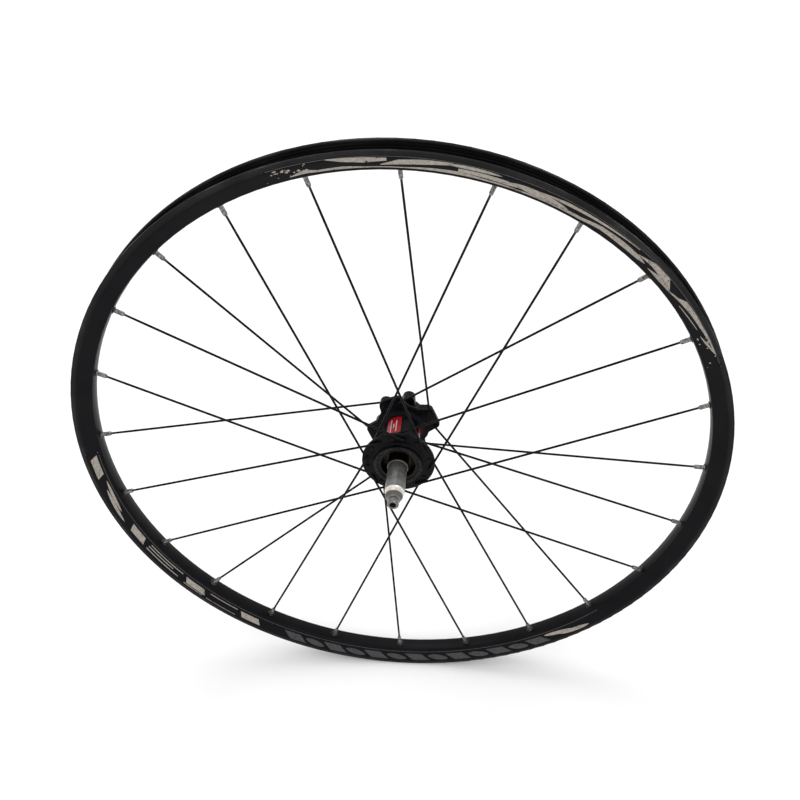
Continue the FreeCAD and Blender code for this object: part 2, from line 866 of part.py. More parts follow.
def make_axle_fittings():
    """The chain-side sleeve and, on the disc side, the spacer, seal, washer and locknut."""
    main = cell("axle_radius")
    end = cell("axle_end_radius")
    gap = cell("fit_gap")
    drive_out = cell("drive_bearing_y") - cell("bearing_width") * 0.5 - gap
    disc_out = cell("disc_bearing_y") + cell("bearing_width") * 0.5 + gap
    mouth_end = cell("sleeve_end_y")
    spacer_end = cell("spacer_end_y")
    washer = spacer_end + 0.05
    nut_start = washer + cell("washer_thick") + 0.05

    sleeve = new_body("drive_sleeve")
    revolve(sleeve, "drive_sleeve", [[
        (main + gap, mouth_end),
        (main + 0.4, mouth_end),
        (main + 0.75, mouth_end + 0.4),
        (main + 0.75, drive_out),
        (main + gap, drive_out),
    ]])
    keep(sleeve, "drive_sleeve")

    ring("disc_spacer", end + 0.05, main + 0.7, disc_out, spacer_end)
    ring("disc_dust_seal", main + 0.75, size(14.6), disc_out + 0.2, disc_out + 0.9)
    ring("disc_lock_washer", end + 0.05, main - 0.6, washer, washer + cell("washer_thick"))

    nut = new_body("disc_locknut")
    face = cell("locknut_face_y")
    flat = cell("locknut_across_flats") * 0.5
    corner = flat * (2 / math.sqrt(3))
    revolve(nut, "locknut", [[
        (end + 0.05, nut_start),
        (corner - 0.8, nut_start),
        (corner, nut_start + 0.5),
        (corner, face - 1.4),
        (flat - 0.2, face),
        (end + 0.05, face),
    ]])
    side = new_sketch(nut, "XZ_Plane", "nut_side", at_y(spacer_end.value))
    outline(side, [(flat, -8.0), (flat + 4.0, -8.0), (flat + 4.0, 8.0), (flat, 8.0)])
    pattern(nut, pocket(nut, side, "nut_flat", 10.0), "N_Axis", 6)
    keep(nut, "disc_locknut")


# ---------------------------------------------------------------- build, check and write

make_rim()
make_rim_joint_sleeve()
make_rim_films()
make_spokes_and_nipples()
make_hub_shell()
make_hub_labels()
make_ratchet_ring()
make_retaining_ring()
make_bearing("drive")
make_bearing("disc")
make_axle()
make_axle_fittings()
doc.recompute()

faulty = [o.Name for o in doc.Objects if "Invalid" in o.State or "Error" in o.State]
if faulty:
    raise RuntimeError(f"objects that failed: {faulty}")

os.makedirs("parts", exist_ok=True)
for node in node_objects:
    if node.Shape.isNull() or not node.Shape.isValid():
        raise RuntimeError(f"{node.Label} has no valid shape")
    node.Shape.exportStep(f"parts/{node.Label}.step")
    count = len(node.Shape.Solids)
    print(f"{node.Label}: {count} solid(s), {node.Shape.Volume / 1000:.2f} cm3")
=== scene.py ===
# %% [markdown]
# # A bare bicycle rear wheel
# This lesson dresses a finished design. The wheel's shape, sizes and joints are already fixed
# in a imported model, so nothing here is moved or resized. What is left is the part that a
# visitor sees: paint, plating, printed film, turned aluminium, and a few pieces that deserve a
# finer mesh than the design carries.
#
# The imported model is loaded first. Its box is measured straight away, because the finished
# wheel must still fit in it when the work is done.

# %% Load the wheel
import math
import random

import bmesh
import bpy
import numpy as np
from mathutils import Matrix, Vector


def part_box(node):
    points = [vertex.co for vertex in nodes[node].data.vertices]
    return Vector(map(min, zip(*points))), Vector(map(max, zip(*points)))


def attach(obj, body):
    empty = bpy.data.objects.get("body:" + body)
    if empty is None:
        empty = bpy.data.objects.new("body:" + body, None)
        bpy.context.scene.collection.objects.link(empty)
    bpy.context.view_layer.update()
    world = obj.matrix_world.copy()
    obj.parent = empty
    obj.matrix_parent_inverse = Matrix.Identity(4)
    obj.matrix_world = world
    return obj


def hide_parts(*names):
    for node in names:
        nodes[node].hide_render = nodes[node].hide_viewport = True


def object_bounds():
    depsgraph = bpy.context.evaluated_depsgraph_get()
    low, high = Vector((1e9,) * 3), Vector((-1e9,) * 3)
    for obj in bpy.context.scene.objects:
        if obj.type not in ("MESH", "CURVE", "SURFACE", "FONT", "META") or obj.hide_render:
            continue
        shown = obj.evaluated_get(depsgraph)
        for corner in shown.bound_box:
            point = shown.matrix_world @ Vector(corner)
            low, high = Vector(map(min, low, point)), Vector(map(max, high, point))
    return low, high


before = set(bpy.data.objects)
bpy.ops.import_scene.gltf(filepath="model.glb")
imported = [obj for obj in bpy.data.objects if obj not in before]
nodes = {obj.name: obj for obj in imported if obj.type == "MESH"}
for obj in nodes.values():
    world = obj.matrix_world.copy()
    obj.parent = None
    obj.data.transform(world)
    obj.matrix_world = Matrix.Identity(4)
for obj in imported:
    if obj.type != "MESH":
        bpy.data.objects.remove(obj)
design_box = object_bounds()
MM = 0.001
print("design box, mm:", [round(v / MM, 1) for corner in design_box for v in corner])

# %% [markdown]
# ## The camera
# The wheel stands upright and the camera looks down on it from the chain side. A camera can be
# turned by angles, but three perpendicular directions are easier to keep exact: where it
# looks, which way is up for it, and the cross product of the two. They become the columns of
# its matrix.

# %% Place the camera
AIM = Vector((-0.0461, 0.7892, -0.6124)).normalized()
SIDEWAYS = AIM.cross(Vector((-0.0357, 0.6113, 0.7906))).normalized()
UPWARD = SIDEWAYS.cross(AIM)
camera_data = bpy.data.cameras.new("camera")
camera_data.sensor_width = 36.0
camera_data.lens = 43.476
camera_data.shift_x = -0.04268
camera_data.shift_y = -0.00112
camera = bpy.data.objects.new("camera", camera_data)
bpy.context.scene.collection.objects.link(camera)
turn = Matrix((SIDEWAYS, UPWARD, -AIM)).transposed().to_4x4()
camera.matrix_world = Matrix.Translation((0.0681, -0.6458, 0.5606)) @ turn
bpy.context.scene.camera = camera
print("camera height above the floor, m:", round(camera.location.z - design_box[0][2], 3))

# %% [markdown]
# ## The floor and the light
# A black wheel needs something pale to reflect, or its edges vanish. A bright, even world gives
# the soft wrap of a light tent, and it keeps the shadows on the floor faint. Two large lamps
# add direction: one above and behind, which draws the bright line along the top of every round
# piece, and a weaker one on the chain side for the hub and the axle. The plain "Standard" view
# keeps white paper white, where a film-like view would turn it grey.

# %% Floor, world and lamps
FLOOR_SIZE = 14.0


def plain(name, colour, roughness, metallic=0.0):
    """A material with one colour and finish, set on the shader's own sockets."""
    made = bpy.data.materials.new(name)
    made.use_nodes = True
    shader = made.node_tree.nodes["Principled BSDF"]
    shader.inputs["Base Color"].default_value = (*colour, 1.0)
    shader.inputs["Roughness"].default_value = roughness
    shader.inputs["Metallic"].default_value = metallic
    return made


def link_object(name, data):
    """A new object with this data, in the scene."""
    made = bpy.data.objects.new(name, data)
    bpy.context.scene.collection.objects.link(made)
    return made


floor_mesh = bpy.data.meshes.new("floor")
half = FLOOR_SIZE / 2
under = design_box[0][2] - 0.2 * MM
floor_mesh.from_pydata(
    [(-half, -half, under), (half, -half, under), (half, half, under), (-half, half, under)],
    [], [(0, 1, 2, 3)],
)
floor = link_object("floor", floor_mesh)
floor.data.materials.append(plain("floor_paper", (0.93, 0.93, 0.93), 0.9))

world = bpy.data.worlds.new("studio")
world.use_nodes = True
world.node_tree.nodes["Background"].inputs["Color"].default_value = (1.0, 1.0, 1.0, 1.0)
world.node_tree.nodes["Background"].inputs["Strength"].default_value = 1.02
bpy.context.scene.world = world
bpy.context.scene.view_settings.view_transform = "Standard"


def lamp(name, place, towards, size, watts):
    """A square area lamp that faces a point."""
    data = bpy.data.lights.new(name, "AREA")
    data.size = size
    data.energy = watts
    made = link_object(name, data)
    made.location = place
    away = Vector(place) - Vector(towards)
    made.rotation_euler = away.to_track_quat("Z", "Y").to_euler()
    return made


lamp("top_lamp", (-0.5, 0.9, 2.2), (0, 0, 0), 1.4, 14.0)
lamp("chain_side_lamp", (0.9, -1.8, 1.5), (0, 0, 0), 0.8, 7.0)

# %% [markdown]
# ## Measuring the wheel by its own circles
# Wear on a wheel runs round it: the tyre rubs the lips, a lathe leaves rings on the axle, and a
# rag is pulled along the rim. Straight noise can't show that. The materials below therefore
# work in the wheel's own measures: the distance from the axle, the angle about it, and the
# place along it. A small class keeps the wiring short, so each material reads like a recipe.

# %% A short way to write node recipes
class Recipe:
    """A material that is wired from short calls. Lengths are in millimetres."""

    def __init__(self, name, colour, roughness, metallic=0.0):
        self.material = plain(name, colour, roughness, metallic)
        self.tree = self.material.node_tree
        self.shader = self.tree.nodes["Principled BSDF"]
        place = self.tree.nodes.new("ShaderNodeTexCoord").outputs["Object"]
        scaled = self.tree.nodes.new("ShaderNodeVectorMath")
        scaled.operation = "SCALE"
        scaled.inputs["Scale"].default_value = 1 / MM
        self.tree.links.new(place, scaled.inputs[0])
        self.place = scaled.outputs[0]
        split = self.tree.nodes.new("ShaderNodeSeparateXYZ")
        self.tree.links.new(self.place, split.inputs[0])
        self.x, self.y, self.z = split.outputs

    def feed(self, socket, value):
        """Wire a socket into an input, or set the input to a plain value."""
        if isinstance(value, bpy.types.NodeSocket):
            self.tree.links.new(value, socket)
        else:
            socket.default_value = value

    def sum(self, kind, *values):
        """One sum of the Math node, such as MULTIPLY or SUBTRACT."""
        node = self.tree.nodes.new("ShaderNodeMath")
        node.operation = kind
        for socket, value in zip(node.inputs, values):
            self.feed(socket, value)
        return node.outputs[0]

    def radius(self):
        """Distance from the axle's axis."""
        squares = self.sum("ADD", self.sum("POWER", self.x, 2.0), self.sum("POWER", self.z, 2.0))
        return self.sum("SQRT", squares)

    def round_place(self, along=1.0):
        """A place made of radius, y and the length round the wheel, squeezed by a factor."""
        join = self.tree.nodes.new("ShaderNodeCombineXYZ")
        radius = self.radius()
        angle = self.sum("ARCTAN2", self.z, self.x)
        self.feed(join.inputs[0], radius)
        self.feed(join.inputs[1], self.y)
        self.feed(join.inputs[2], self.sum("MULTIPLY", self.sum("MULTIPLY", angle, radius), along))
        return join.outputs[0]

    def noise(self, size, detail=3.0, rough=0.55, place=None):
        """Cloudy noise whose patches are about this many millimetres across."""
        node = self.tree.nodes.new("ShaderNodeTexNoise")
        self.feed(node.inputs["Vector"], place if place is not None else self.place)
        node.inputs["Scale"].default_value = 1.0 / size
        node.inputs["Detail"].default_value = detail
        node.inputs["Roughness"].default_value = rough
        return node.outputs["Fac"]

    def span(self, value, low, high, start=0.0, end=1.0):
        """Stretch a value from one range to another, held at both ends."""
        node = self.tree.nodes.new("ShaderNodeMapRange")
        node.clamp = True
        for socket, number in zip(node.inputs, (value, low, high, start, end)):
            self.feed(socket, number)
        return node.outputs[0]

    def blend(self, amount, first, second):
        """A colour between two colours or colour sockets."""
        node = self.tree.nodes.new("ShaderNodeMix")
        node.data_type = "RGBA"
        self.feed(node.inputs["Factor"], amount)
        for socket, colour in ((node.inputs[6], first), (node.inputs[7], second)):
            self.feed(socket, colour if isinstance(colour, bpy.types.NodeSocket) else (*colour, 1))
        return node.outputs[2]

    def colour(self, value):
        self.feed(self.shader.inputs["Base Color"], value)
        return self

    def roughness(self, value):
        self.feed(self.shader.inputs["Roughness"], value)
        return self

    def bump(self, height, depth):
        """Relief from a value between 0 and 1, that many millimetres deep."""
        node = self.tree.nodes.new("ShaderNodeBump")
        node.inputs["Distance"].default_value = depth * MM
        node.inputs["Strength"].default_value = 1.0
        self.feed(node.inputs["Height"], height)
        self.feed(self.shader.inputs["Normal"], node.outputs[0])
        return self

    def reflect(self, level):
        """How strongly the bare surface mirrors."""
        self.shader.inputs["Specular IOR Level"].default_value = level
        return self


def dress(material, *names):
    """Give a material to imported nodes."""
    for name in names:
        slots = nodes[name].data.materials
        slots.clear()
        slots.append(material)


print("recipe class ready")

# %% [markdown]
# ## Black rim
# The rim is extruded aluminium, anodised black. Where the tyre sat, the lips and the channel are
# dull and dusty, with grey rub marks that run round the wheel, and the outer corner of each lip
# is worn brighter. The recipe takes a mask from the radius: smooth black below, dusty charcoal
# above. Streaky noise comes from the round measure squeezed to less than a tenth of its length,
# so each patch turns into a long smear.

# %% Rim material
lip_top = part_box("rim")[1][0] / MM


def black_rim():
    paint = Recipe("black_rim", (0.004, 0.004, 0.005), 0.32)
    streaks = paint.noise(5.0, 5.0, 0.6, paint.round_place(0.08))
    clouds = paint.noise(38.0, 4.0, 0.6)
    fine = paint.noise(0.5, 2.0, 0.5)
    tyre_zone = paint.span(paint.radius(), lip_top - 5.6, lip_top - 2.8)
    dust = paint.sum("MULTIPLY", paint.span(clouds, 0.42, 0.68), paint.span(streaks, 0.4, 0.66))
    dusty = paint.sum("MULTIPLY", tyre_zone, paint.span(dust, 0.0, 1.0, 0.25, 1.0))
    edge = paint.span(paint.radius(), lip_top - 0.7, lip_top - 0.1)
    worn = paint.sum("MULTIPLY", edge, paint.span(streaks, 0.5, 0.62))
    base = paint.blend(paint.span(clouds, 0.3, 0.7), (0.002, 0.002, 0.003), (0.005, 0.005, 0.006))
    base = paint.blend(dusty, base, (0.035, 0.034, 0.033))
    paint.colour(paint.blend(worn, base, (0.08, 0.078, 0.075)))
    rough = paint.span(streaks, 0.3, 0.7, 0.27, 0.37)
    paint.roughness(paint.sum("ADD", rough, paint.sum("MULTIPLY", tyre_zone, 0.22)))
    paint.bump(paint.sum("ADD", fine, paint.sum("MULTIPLY", streaks, 0.6)), 0.006)
    return paint.reflect(0.07).material


rim_black = black_rim()
dress(rim_black, "rim")
print("rim radius, mm:", round(lip_top, 2))

# %% [markdown]
# ## Printed film on the rim's walls
# Two long bands of glossy film lie on each wall, one over the top and one under the hub. The
# design carries each band as a plain strip. Here it becomes a strip that follows the wall in
# small steps, and the print on it is built as its own thin layers: the swept blades and bars
# only say "sports decal" and spell nothing.
#
# A shape is a run of stations round the rim. Each station has an angle and the two heights
# between which the ink lies, from 0 at the spoke side to 1 at the tyre side. Joining stations
# with curves that follow the wall gives clean outlines, which a painted mask could only give
# at a very high resolution.

# %% The wall that the film lies on
WALL = ((271.4, 7.711), (279.2, 11.0), (282.0, 11.744))
FILM_LIFT = 0.05
FILM_THICK = 0.08
INK_THICK = 0.03
STEP_DEGREES = 0.5


def wall_point(angle, height, side, lift):
    """A point on a rim wall, in metres. Height runs from 0 at the spokes to 1 at the tyre."""
    low, high = WALL[0][0], WALL[-1][0]
    radius = low + (high - low) * height
    half_width = np.interp(radius, [r for r, _ in WALL], [y for _, y in WALL]) + lift
    turn_by = math.radians(angle)
    return Vector((
        radius * math.cos(turn_by) * MM,
        side * half_width * MM,
        radius * math.sin(turn_by) * MM,
    ))


def strip(work, stations, side, lift, thick, rows):
    """Add one closed, thin strip that follows the wall through its stations to a bmesh."""
    angles = [s[0] for s in stations]
    count = max(2, round((angles[-1] - angles[0]) / STEP_DEGREES) + 1)
    walked = sorted(set(np.linspace(angles[0], angles[-1], count)) | set(angles))
    lows = np.interp(walked, angles, [s[1] for s in stations])
    highs = np.interp(walked, angles, [s[2] for s in stations])
    skins = []
    for level in (lift, lift + thick):
        skin = []
        for angle, low, high in zip(walked, lows, highs):
            steps = [low + (high - low) * row / rows for row in range(rows + 1)]
            line = [work.verts.new(wall_point(angle, h, side, level)) for h in steps]
            skin.append(line)
        skins.append(skin)
    inner, outer = skins
    last = len(walked) - 1
    for column in range(last):
        for row in range(rows):
            for skin in skins:
                work.faces.new((
                    skin[column][row], skin[column + 1][row],
                    skin[column + 1][row + 1], skin[column][row + 1],
                ))
        for row in (0, rows):
            work.faces.new((
                inner[column][row], inner[column + 1][row],
                outer[column + 1][row], outer[column][row],
            ))
    for column in (0, last):
        for row in range(rows):
            work.faces.new((
                inner[column][row], inner[column][row + 1],
                outer[column][row + 1], outer[column][row],
            ))


def finish_mesh(work, name, material, sharp=38.0):
    """Turn a bmesh into an object: welded, faces outward, smooth except at sharp edges."""
    bmesh.ops.remove_doubles(work, verts=work.verts, dist=1e-7)
    bmesh.ops.recalc_face_normals(work, faces=work.faces)
    for face in work.faces:
        face.smooth = True
    for edge in work.edges:
        if len(edge.link_faces) == 2 and edge.calc_face_angle(0.0) > math.radians(sharp):
            edge.smooth = False
    mesh = bpy.data.meshes.new(name)
    work.to_mesh(mesh)
    work.free()
    mesh.materials.append(material)
    return link_object(name, mesh)


print("wall is", WALL[-1][0] - WALL[0][0], "mm high")

# %% [markdown]
# The film itself is black and glossy, with hairline scratches along the wheel. The ink is a
# pale, warm grey that years of brushing and grit have chipped, so its recipe mixes black back in
# wherever two sizes of noise are both high.

# %% Film and ink materials
def gloss_film():
    film = Recipe("rim_film", (0.002, 0.002, 0.003), 0.2)
    scratches = film.noise(0.7, 2.0, 0.6, film.round_place(0.03))
    clouds = film.noise(24.0, 3.0)
    scratched = film.span(scratches, 0.66, 0.8)
    film.colour(film.blend(scratched, (0.002, 0.002, 0.003), (0.02, 0.02, 0.02)))
    film.roughness(film.span(clouds, 0.3, 0.7, 0.13, 0.26))
    film.bump(scratches, 0.003)
    return film.reflect(0.09).material


def chipped_ink(name, pale, dark, loss):
    """Printed grey ink. Loss says how much has chipped away, from 0 to 1."""
    ink = Recipe(name, pale, 0.38)
    chips = ink.noise(2.2, 6.0, 0.7, ink.round_place(0.6))
    clouds = ink.noise(14.0, 3.0)
    lost = ink.sum("MULTIPLY", ink.span(chips, 0.62 - 0.1 * loss, 0.66 - 0.1 * loss),
                   ink.span(clouds, 0.54 - 0.2 * loss, 0.6 - 0.2 * loss))
    faded = ink.span(ink.noise(2.4, 5.0, 0.7), 0.38, 0.62)
    tone = ink.blend(faded, pale, [c * 0.66 for c in pale])
    ink.colour(ink.blend(lost, tone, dark))
    ink.roughness(ink.span(clouds, 0.3, 0.7, 0.3, 0.48))
    ink.bump(ink.sum("SUBTRACT", 1.0, lost), 0.02)
    return ink.reflect(0.12).material


film_black = gloss_film()
warm_ink = chipped_ink("warm_ink", (0.36, 0.325, 0.285), (0.006, 0.006, 0.006), 0.3)
dim_ink = chipped_ink("dim_ink", (0.062, 0.062, 0.064), (0.006, 0.006, 0.006), 0.3)
line_ink = chipped_ink("line_ink", (0.16, 0.155, 0.148), (0.01, 0.01, 0.01), 0.1)
print("film and ink ready")

# %% [markdown]
# The upper band carries a long row of swept blades. They start with a burst of specks, grow,
# and thin out to a point as they run down the wheel. The lower band carries slanted blocks with
# blades and thin lines between them, then dim bars and blades in turn, and two pale blades where
# it stops. Both walls of the rim are printed alike.

# %% The shapes on the two bands
UPPER_BAND = (23.0, 109.5)
LOWER_BAND = (181.5, 316.0)


def blade(start, end, low, high, lean=0.0):
    """A blade that is thin at both ends and full in the middle, leaning up or down the wall."""
    stations = []
    for share in np.linspace(0.0, 1.0, 13):
        swell = math.sin(math.pi * share) ** 0.6
        middle = (low + high) / 2 + lean * (share - 0.5)
        reach = (high - low) / 2 * swell
        stations.append((start + (end - start) * share, middle - reach, middle + reach))
    return stations


def bar(start, end, low, high, slant):
    """A bar with slanted ends: its upper edge is shifted by slant degrees."""
    return [
        (start, low, low + 0.02),
        (start + slant, low, high),
        (end - slant, low, high),
        (end, high - 0.02, high),
    ]


def specks(seed, start, end, count):
    """A burst of small flakes."""
    draw = random.Random(seed)
    flakes = []
    for _ in range(count):
        angle = draw.uniform(start, end)
        width = draw.uniform(0.15, 0.75)
        middle = draw.uniform(0.12, 0.88)
        reach = draw.uniform(0.03, 0.10)
        flakes.append([
            (angle, middle, middle + 0.005),
            (angle + width * 0.4, middle - reach, middle + reach),
            (angle + width, middle, middle + 0.005),
        ])
    return flakes


def long_shape(*stations):
    """A shape whose stations are given from the high angle down, as they are seen."""
    return sorted(stations)


upper_pale = specks(3, 100.5, 108.0, 16) + specks(5, 24.0, 31.0, 8) + [
    long_shape((105.5, 0.04, 0.08), (103.0, 0.10, 0.42), (101.0, 0.04, 0.20), (97.0, 0.03, 0.24),
               (94.0, 0.03, 0.12), (88.0, 0.02, 0.10), (84.0, 0.02, 0.22), (80.0, 0.02, 0.30),
               (76.0, 0.02, 0.16), (70.0, 0.02, 0.12)),
    long_shape((99.5, 0.93, 0.96), (97.0, 0.62, 0.94), (94.0, 0.46, 0.90), (90.5, 0.60, 0.84)),
    long_shape((91.5, 0.24, 0.30), (88.8, 0.30, 0.72), (85.0, 0.44, 0.86), (81.0, 0.70, 0.90)),
    blade(73.5, 82.5, 0.64, 0.90, 0.0),
    long_shape((80.0, 0.28, 0.56), (76.0, 0.24, 0.58), (72.5, 0.20, 0.54), (70.0, 0.30, 0.34)),
    blade(62.0, 72.0, 0.10, 0.62, 0.3),
    long_shape((72.0, 0.03, 0.10), (66.0, 0.02, 0.20), (60.0, 0.02, 0.26), (56.5, 0.20, 0.52),
               (52.0, 0.14, 0.56), (48.5, 0.16, 0.48), (47.0, 0.30, 0.34)),
    long_shape((67.5, 0.60, 0.64), (63.0, 0.56, 0.82), (57.0, 0.66, 0.84), (49.5, 0.86, 0.90)),
    long_shape((49.0, 0.50, 0.54), (46.0, 0.56, 0.92), (42.5, 0.40, 0.94), (40.5, 0.30, 0.34)),
    long_shape((46.0, 0.20, 0.24), (43.0, 0.14, 0.52), (40.0, 0.22, 0.30)),
    long_shape((41.0, 0.16, 0.20), (38.5, 0.34, 0.52), (37.4, 0.42, 0.86), (35.0, 0.56, 0.92),
               (32.0, 0.66, 0.90), (30.5, 0.74, 0.94), (28.8, 0.80, 0.94), (25.5, 0.92, 0.94)),
    long_shape((37.0, 0.18, 0.22), (34.5, 0.26, 0.34), (31.5, 0.40, 0.44)),
    long_shape((30.0, 0.40, 0.44), (28.6, 0.48, 0.66), (26.8, 0.74, 0.90), (26.0, 0.88, 0.92)),
]
lower_pale = [
    bar(182.4, 188.0, 0.20, 0.74, 0.9),
    blade(188.8, 197.0, 0.20, 0.42, 0.2),
    blade(190.8, 199.4, 0.48, 0.72, 0.2),
    bar(200.8, 206.0, 0.20, 0.72, 0.9),
    bar(207.2, 217.0, 0.20, 0.27, 0.1),
    bar(207.0, 214.6, 0.42, 0.49, 0.1),
    bar(207.0, 216.6, 0.66, 0.73, 0.1),
    bar(218.0, 223.8, 0.24, 0.70, 0.9),
    bar(218.4, 223.4, 0.78, 0.84, 0.1),
    bar(224.6, 231.6, 0.24, 0.30, 0.1),
    bar(224.4, 231.8, 0.80, 0.84, 0.1),
    bar(232.4, 237.6, 0.26, 0.76, 0.9),
    blade(301.4, 308.2, 0.24, 0.56, 0.3),
    blade(304.8, 311.8, 0.50, 0.84, 0.2),
]
lower_dim = [bar(start, start + 5.4, 0.22, 0.86, 1.8) for start in range(243, 300, 9)]
lower_dim += [blade(start + 5.0, start + 9.4, 0.3, 0.8, 0.3) for start in range(243, 292, 9)]
pin_lines = [
    [(24.0, 0.955, 0.98), (108.6, 0.955, 0.98)],
    [(182.4, 0.01, 0.03), (315.2, 0.01, 0.03)],
    [(181.7, 0.02, 0.98), (181.9, 0.02, 0.98)],
    [(109.1, 0.02, 0.98), (109.25, 0.02, 0.98)],
    [(23.2, 0.02, 0.98), (23.35, 0.02, 0.98)],
]
print("pale shapes:", len(upper_pale) + len(lower_pale), "dim shapes:", len(lower_dim))

# %% Build the film and the ink on both walls
for side, wall_name in ((-1, "chain_side"), (1, "disc_side")):
    layers = (
        ("film", film_black, [[(a, 0.0, 1.0), (b, 0.0, 1.0)] for a, b in (UPPER_BAND, LOWER_BAND)],
         FILM_LIFT, FILM_THICK, 8),
        ("pale_ink", warm_ink, upper_pale + lower_pale, FILM_LIFT + FILM_THICK, INK_THICK, 5),
        ("dim_ink", dim_ink, lower_dim, FILM_LIFT + FILM_THICK, INK_THICK, 5),
        ("line_ink", line_ink, pin_lines, FILM_LIFT + FILM_THICK, INK_THICK, 1),
    )
    for layer, material, shapes, lift, thick, rows in layers:
        work = bmesh.new()
        for stations in shapes:
            strip(work, stations, side, lift, thick, rows)
        piece = finish_mesh(work, f"rim_{layer}_{wall_name}", material)
        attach(piece, "wheel")
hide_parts("rim_films")

# %% [markdown]
# ## Spokes
# A spoke is one length of black steel wire. A pressed head stops it in the flange, a short neck
# passes through the hole, an elbow turns it in line, and the far end is threaded into the
# nipple. A curve with a bevel would do, but it can't change its girth cleanly at the head. Here
# a ring of points is carried along the wire's own line, with a girth for each place, so the
# head, elbow, straight run and thread are all one skin.
#
# The line comes from the lacing rule of this wheel. Every third spoke goes to the disc side. On
# each flange, neighbours lean opposite ways and lie on opposite faces.

# %% The lacing rule
FIRST_NIPPLE = 103.78
SPOKE_COUNT = 24
SEAT_RADIUS = 269.3
FLANGE_THICK = 3.2
ELBOW_RADIUS = 2.6
ELBOW_STEPS = 10
WIRE = 1.0
HEAD = ((0.0, 1.1), (0.05, 1.45), (0.2, 1.72), (0.55, 1.8), (0.9, 1.62), (1.1, 1.25), (1.3, WIRE))
THREAD_LENGTH = 14.0
THREAD_STEP = 0.45
THREAD_RINGS = 22
THREAD_ROOT = 0.94
FLANGES = {
    "drive": {"y": -14.2, "holes": 27.5, "lead": 71.25, "standoff": 1.95},
    "disc": {"y": 35.7, "holes": 29.0, "lead": 52.5, "standoff": 2.15},
}


def on_circle(radius, angle, y=0.0):
    """A point at a radius and angle about the axle, in millimetres."""
    turn_by = math.radians(angle)
    return Vector((radius * math.cos(turn_by), y, radius * math.sin(turn_by)))


def spoke_line(number):
    """The spoke's corner at the flange, its nipple's seat, its side and its standoff."""
    angle = FIRST_NIPPLE - (number - 1) * 360.0 / SPOKE_COUNT
    place = number % 3
    flange = FLANGES["disc" if place == 2 else "drive"]
    trails = number % 6 == 2 if place == 2 else place == 1
    side = (1 if trails else -1) if place == 2 else (-1 if trails else 1)
    hole = on_circle(flange["holes"], angle + flange["lead"] * (-1 if trails else 1), flange["y"])
    rise = FLANGE_THICK / 2 + flange["standoff"]
    corner = hole + Vector((0, side * rise, 0))
    return corner, on_circle(SEAT_RADIUS, angle), side, flange["standoff"]


def sweep(work, points, girths, around=20):
    """Carry a ring of points along a line. The ends are closed with a fan."""
    tangents = []
    for index in range(len(points)):
        before = points[max(index - 1, 0)]
        after = points[min(index + 1, len(points) - 1)]
        tangents.append((after - before).normalized())
    across = tangents[0].orthogonal().normalized()
    rings = []
    for point, tangent, girth in zip(points, tangents, girths):
        across = (across - tangent * across.dot(tangent)).normalized()
        other = tangent.cross(across)
        ring = []
        for step in range(around):
            turn_by = 2 * math.pi * step / around
            way = across * math.cos(turn_by) + other * math.sin(turn_by)
            ring.append(work.verts.new((point + way * girth) * MM))
        rings.append(ring)
    for first, second in zip(rings, rings[1:]):
        for step in range(around):
            after = (step + 1) % around
            work.faces.new((first[step], first[after], second[after], second[step]))
    for ring, point in ((rings[0], points[0]), (rings[-1], points[-1])):
        centre = work.verts.new(point * MM)
        for step in range(around):
            work.faces.new((ring[step], ring[(step + 1) % around], centre))


def spoke_path(number):
    """The wire's centre line from head to thread, with its girth at each place."""
    corner, seat, side, standoff = spoke_line(number)
    shank = Vector((0, side, 0))
    ahead = (seat - corner).normalized()
    bend = shank.angle(ahead)
    tangent = ELBOW_RADIUS * math.tan(bend / 2)
    rise = FLANGE_THICK + standoff
    head_end = corner - shank * (rise + 1.05)
    points = [head_end + shank * along for along, _ in HEAD]
    girths = [girth for _, girth in HEAD]
    entry = corner - shank * tangent
    points.append((points[-1] + entry) / 2)
    girths.append(WIRE)
    inward = (ahead - shank * shank.dot(ahead)).normalized()
    middle = entry + inward * ELBOW_RADIUS
    for step in range(ELBOW_STEPS + 1):
        turned_by = bend * step / ELBOW_STEPS
        out = -inward * math.cos(turned_by) + shank * math.sin(turned_by)
        points.append(middle + out * ELBOW_RADIUS)
        girths.append(WIRE)
    run = (seat - corner).length - tangent
    start = corner + ahead * tangent
    for along in (8.0, 30.0, run / 2, run - 32.0):
        points.append(start + ahead * along)
        girths.append(WIRE)
    for step in range(THREAD_RINGS):
        points.append(start + ahead * (run - THREAD_LENGTH + THREAD_STEP * step))
        girths.append(WIRE if step % 2 else THREAD_ROOT)
    points.append(start + ahead * (run + 3.8))
    girths.append(0.97)
    return points, girths


print("spoke 1 is", round((spoke_line(1)[1] - spoke_line(1)[0]).length, 1), "mm long")

# %% [markdown]
# The wire's black is a hard satin coat over steel. It is a little patchy, with a fine grit in
# its skin, and the thread shows some bare metal.

# %% Build the spokes
def black_wire():
    wire = Recipe("black_spoke", (0.008, 0.008, 0.009), 0.36)
    clouds = wire.noise(14.0, 4.0, 0.6)
    grit = wire.noise(0.35, 2.0, 0.5)
    near_nipple = wire.span(wire.radius(), 254.0, 258.0)
    base = wire.blend(wire.span(clouds, 0.35, 0.7), (0.003, 0.003, 0.003), (0.008, 0.008, 0.008))
    wire.colour(wire.blend(wire.sum("MULTIPLY", near_nipple, 0.35), base, (0.10, 0.10, 0.10)))
    wire.roughness(wire.span(clouds, 0.3, 0.7, 0.3, 0.45))
    wire.bump(grit, 0.006)
    return wire.reflect(0.06).material


spoke_black = black_wire()
for number in range(1, SPOKE_COUNT + 1):
    work = bmesh.new()
    sweep(work, *spoke_path(number))
    spoke = finish_mesh(work, f"wire_spoke_{number:02d}", spoke_black, sharp=60.0)
    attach(spoke, "wheel")
    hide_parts(f"spoke_{number:02d}")
print("spokes:", SPOKE_COUNT)

